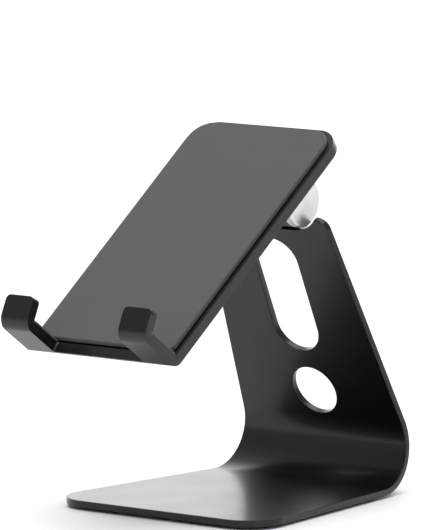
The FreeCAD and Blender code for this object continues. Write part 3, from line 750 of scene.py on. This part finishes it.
# %% Carry the four screws to the back of the upright
along = strip_top - LEAF_TOP_DROP - SCREW_ROWS_DROP
seat = foot_path.place(0, along, -LEAF_SHEET) * MM
up = (foot_path.place(0, along + 1, 0) - foot_path.place(0, along, 0)).normalized()
out = (foot_path.place(0, along, -1) - foot_path.place(0, along, 0)).normalized()
turn = Matrix((up.cross(out), up, out)).transposed().to_4x4()
mesh.transform(Matrix.Translation(seat) @ turn)
screws = bpy.data.objects.new("leaf_screws_set", mesh)
bpy.context.scene.collection.objects.link(screws)
bpy.data.objects.remove(screw)
bpy.data.objects.remove(holder)
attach(screws, "base")
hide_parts("leaf_screws")
print("four screws,", len(mesh.polygons), "faces")

# %% [markdown]
# ## Inside the hinge
# The shaft, its bushes and the stack of washers and nut are shut in by the caps.  Their CAD shapes
# are right as they are, so they stay, and only take their finishes.

# %% Finishes for the CAD nodes that stay
STAYING = {"hinge_bush_left": ACETAL, "hinge_bush_right": ACETAL, "hinge_shaft": BRIGHT_STEEL,
           "thrust_washer": BRIGHT_STEEL, "spring_washers": BRIGHT_STEEL, "hinge_nut": BRIGHT_STEEL,
           "cradle_screws": BLACK_OXIDE}
for name, finish in STAYING.items():
    nodes[name].data.materials.clear()
    nodes[name].data.materials.append(finish)

# %% [markdown]
# ## Studio
# Black metal shows nothing but what it reflects, so the room matters more than the lamps.  The walls
# are dim, which keeps the bends and the lips dark.  A wide window behind on the left lights up the top
# of the foot, which the eye skims, and a bright ceiling makes the floor white.  The lamps stand where
# the two sheets don't mirror them.  The floor is far wider than any view of the stand.

# %% Floor and room
FLOOR_SIZE = 60.0
PAPER_PATCH = 400.0
WALLS, WINDOW, CEILING = 0.5, 2.1, 2.1
WINDOW_WAY = (-0.62, 0.77, 0.15)
WINDOW_EDGE = (0.6, 0.95)       # where it fades in and is full, as cosines of the angle from its middle
CEILING_EDGE = (0.82, 0.92)     # the same, from straight up

reach = FLOOR_SIZE / 2
floor_mesh = bpy.data.meshes.new("floor")
floor_mesh.from_pydata([(-reach, -reach, 0), (reach, -reach, 0), (reach, reach, 0), (-reach, reach, 0)],
                       [], [(0, 1, 2, 3)])
floor = bpy.data.objects.new("floor", floor_mesh)
bpy.context.scene.collection.objects.link(floor)
floor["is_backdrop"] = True
paper, _, shader = mottled("matt_white_paper", PAPER_PATCH, 2.0, ("#efefef", "#f2f2f2"), (0.88, 0.92))
shader.inputs["Specular IOR Level"].default_value = 0.2
floor_mesh.materials.append(paper)

world = bpy.data.worlds.new("white_room")
world.use_nodes = True
tree = world.node_tree
way = add(tree, "ShaderNodeTexCoord")
split = add(tree, "ShaderNodeSeparateXYZ", links={"Vector": way.outputs["Generated"]})
towards = add(tree, "ShaderNodeVectorMath", {"operation": "DOT_PRODUCT"}, {1: WINDOW_WAY},
              {0: way.outputs["Generated"]})
window = add(tree, "ShaderNodeMapRange", {"interpolation_type": "SMOOTHSTEP"},
             {"From Min": WINDOW_EDGE[0], "From Max": WINDOW_EDGE[1],
              "To Min": WALLS, "To Max": WINDOW},
             {"Value": towards.outputs["Value"]})
ceiling = add(tree, "ShaderNodeMapRange", {"interpolation_type": "SMOOTHSTEP"},
              {"From Min": CEILING_EDGE[0], "From Max": CEILING_EDGE[1],
               "To Min": 0.0, "To Max": CEILING},
              {"Value": split.outputs["Z"]})
brightness = add(tree, "ShaderNodeMath", {"operation": "ADD"},
                 links={0: window.outputs["Result"], 1: ceiling.outputs["Result"]})
tree.nodes["Background"].inputs["Color"].default_value = srgb("#fbfbfc")
tree.links.new(brightness.outputs["Value"], tree.nodes["Background"].inputs["Strength"])
bpy.context.scene.world = world
bpy.context.scene.view_settings.view_transform = "Standard"

# %% Soft lights
CENTRE = (cad_box[0] + cad_box[1]) / 2


def softbox(name, place, size, watts):
    """Square area light that faces the object and is not seen by the camera itself."""
    data = bpy.data.lights.new(name, "AREA")
    data.shape = "SQUARE"
    data.size = size
    data.energy = watts
    lamp = bpy.data.objects.new(name, data)
    lamp.location = CENTRE + Vector(place)
    lamp.rotation_euler = (-Vector(place)).to_track_quat("-Z", "Y").to_euler()
    lamp.visible_camera = False
    bpy.context.scene.collection.objects.link(lamp)


softbox("overhead", (0.3, -0.1, 2.0), 2.2, 14.0)
softbox("fill_right", (1.4, -0.6, 0.9), 0.8, 5.0)

# %% [markdown]
# ## Camera
# A long lens from about two metres, a little above the desk and turned well to the right, so that the
# side of the stand, the hooks and the right end cap show together.

# %% Set up the camera
CAMERA_PLACE = Vector((1212.6, -1523.2, 329.7)) * MM
CAMERA_AZIMUTH, CAMERA_ELEVATION, CAMERA_ROLL = 38.743, 7.679, 0.448
CAMERA_LENS = 475.47

azimuth, elevation, roll = (math.radians(v) for v in (CAMERA_AZIMUTH, CAMERA_ELEVATION, CAMERA_ROLL))
ahead = Vector((-math.sin(azimuth) * math.cos(elevation), math.cos(azimuth) * math.cos(elevation),
                -math.sin(elevation)))
level = Vector((math.cos(azimuth), math.sin(azimuth), 0))
down = ahead.cross(level)
right = level * math.cos(roll) + down * math.sin(roll)
below = down * math.cos(roll) - level * math.sin(roll)
camera_data = bpy.data.cameras.new("camera")
camera_data.lens = CAMERA_LENS
camera_data.sensor_width = 36.0
camera_data.clip_end = 100.0
camera = bpy.data.objects.new("camera", camera_data)
facing = Matrix((right, -below, -ahead)).transposed().to_4x4()
camera.matrix_world = Matrix.Translation(CAMERA_PLACE) @ facing
bpy.context.scene.collection.objects.link(camera)
bpy.context.scene.camera = camera

# %% Note the sizes and finish
made_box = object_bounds()
proud = (*(cad_box[0] - made_box[0]), *(made_box[1] - cad_box[1]))
print("stands proud by", [round(v / MM, 2) for v in proud])
